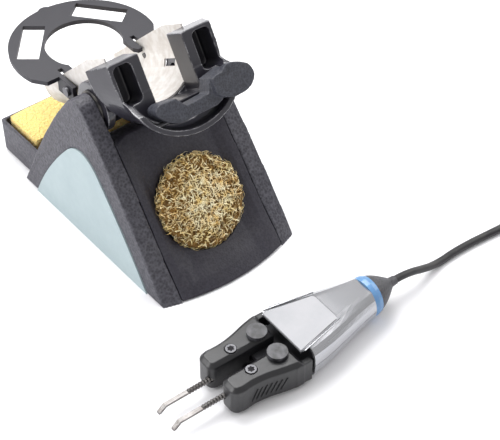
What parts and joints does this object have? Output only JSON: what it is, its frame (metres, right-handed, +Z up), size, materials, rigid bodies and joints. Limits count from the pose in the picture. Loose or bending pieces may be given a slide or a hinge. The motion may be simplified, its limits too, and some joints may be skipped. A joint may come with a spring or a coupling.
{
  "type": "soldering iron station",
  "caption": "Soldering rest with a tilting cradle, tip guard, tip magazine, sponge tray and wool cup, and a hot-tweezer handpiece with its cord and round plug lying beside it.",
  "frame": {"origin": "Middle of the stand's underside, at the height of its rubber feet's lower faces, in metres.", "axes": "+X to the right seen from the front, +Y to the back where the sponge tray is, +Z up. The handpiece lies in front of the stand on -Y and its cord leaves towards +X."},
  "size_m": [0.3282, 0.3729, 0.136],
  "materials": {
    "stand_plastic": "fine texture",
    "panel_plastic": "fine texture, pale mint",
    "cradle_plastic": "gloss outside, fine texture in the basin",
    "black_rubber": "matt",
    "brass_turnings": "curled shavings",
    "sponge_cellulose": "open cells",
    "steel": "brushed",
    "guard_sheet": "satin sheet metal",
    "bronze": "plain",
    "magazine_plastic": "heat-proof, satin",
    "silver_shell": "silver, high gloss",
    "white_label": "printed film, left blank",
    "board": "coated laminate",
    "blue_plastic": "slightly translucent",
    "tip_metal": "plated",
    "cord_jacket": "smooth, flexible"
  },
  "bodies": {
    "stand": {"stand_shell": "stand_plastic", "left_side_panel": "panel_plastic", "right_side_panel": "panel_plastic", "front_cover": "stand_plastic", "base_plate": "steel", "front_left_foot": "black_rubber", "rear_left_foot": "black_rubber", "front_right_foot": "black_rubber", "rear_right_foot": "black_rubber", "base_screw_1": "steel", "base_screw_2": "steel", "base_screw_3": "steel", "base_screw_4": "steel", "left_pivot_pin": "steel", "right_pivot_pin": "steel", "left_friction_washer": "bronze", "right_friction_washer": "bronze"},
    "wool_holder": {"wool_cup": "black_rubber", "brass_wool": "brass_turnings"},
    "tray": {"sponge_tray": "stand_plastic", "sponge": "sponge_cellulose"},
    "cradle": {"cradle_body": "cradle_plastic", "tip_guard": "guard_sheet", "left_magazine_screw": "steel", "right_magazine_screw": "steel", "lever_pin": "steel"},
    "magazine": {"tip_magazine": "magazine_plastic"},
    "lever": {"rest_lever": "black_rubber"},
    "handpiece": {"upper_body_shell": "silver_shell", "lower_body_shell": "silver_shell", "label_plate": "white_label", "circuit_board": "board", "blue_collar": "blue_plastic", "end_cap": "black_rubber", "strain_relief": "black_rubber", "pivot_frame": "steel", "left_arm_pivot": "black_rubber", "right_arm_pivot": "black_rubber", "arm_spring": "steel", "cord_run": "cord_jacket", "cord_tail": "cord_jacket", "cord_coil": "cord_jacket", "coil_tie": "black_rubber", "plug_shell": "black_rubber", "plug_ring": "steel", "plug_insert": "black_rubber"},
    "left_arm": {"left_grip_arm": "black_rubber", "left_clamp_screw": "steel", "left_tip_sleeve": "tip_metal", "left_tip_blade": "tip_metal"},
    "right_arm": {"right_grip_arm": "black_rubber", "right_clamp_screw": "steel", "right_tip_sleeve": "tip_metal", "right_tip_blade": "tip_metal"}
  },
  "joints": [
    {"name": "cradle_tilt", "type": "hinge", "parent": "stand", "child": "cradle", "pos_m": [0, 0.008, 0.0935], "axis": [1, 0, 0], "range_deg": [-8, 14]},
    {"name": "magazine_swing", "type": "hinge", "parent": "cradle", "child": "magazine", "pos_m": [0, 0.041, 0.084], "axis": [1, 0, 0], "range_deg": [-4, 20]},
    {"name": "lever_rock", "type": "hinge", "parent": "cradle", "child": "lever", "pos_m": [0, -0.04354, 0.10607], "axis": [1, 0, 0], "range_deg": [-3, 6], "stiffness_Nm_per_rad": 0.05},
    {"name": "tray_slide", "type": "slide", "parent": "stand", "child": "tray", "axis": [0, 1, 0], "range_m": [0, 0.04]},
    {"name": "wool_cup_slide", "type": "slide", "parent": "stand", "child": "wool_holder", "axis": [0, -0.8387, 0.5446], "range_m": [0, 0.02]},
    {"name": "handpiece_lift", "type": "slide", "parent": "stand", "child": "handpiece", "axis": [0, 0, 1], "range_m": [0, 0.06]},
    {"name": "left_arm_close", "type": "hinge", "parent": "handpiece", "child": "left_arm", "pos_m": [-0.03257, -0.14151, 0.0095], "axis": [0, 0, 1], "range_deg": [0, 4.5], "stiffness_Nm_per_rad": 0.4},
    {"name": "right_arm_close", "type": "hinge", "parent": "handpiece", "child": "right_arm", "pos_m": [-0.03323, -0.16049, 0.0095], "axis": [0, 0, -1], "range_deg": [0, 4.5], "stiffness_Nm_per_rad": 0.4}
  ],
  "couplings": [
    {"joint": "right_arm_close", "follows": "left_arm_close", "ratio": 1}
  ]
}
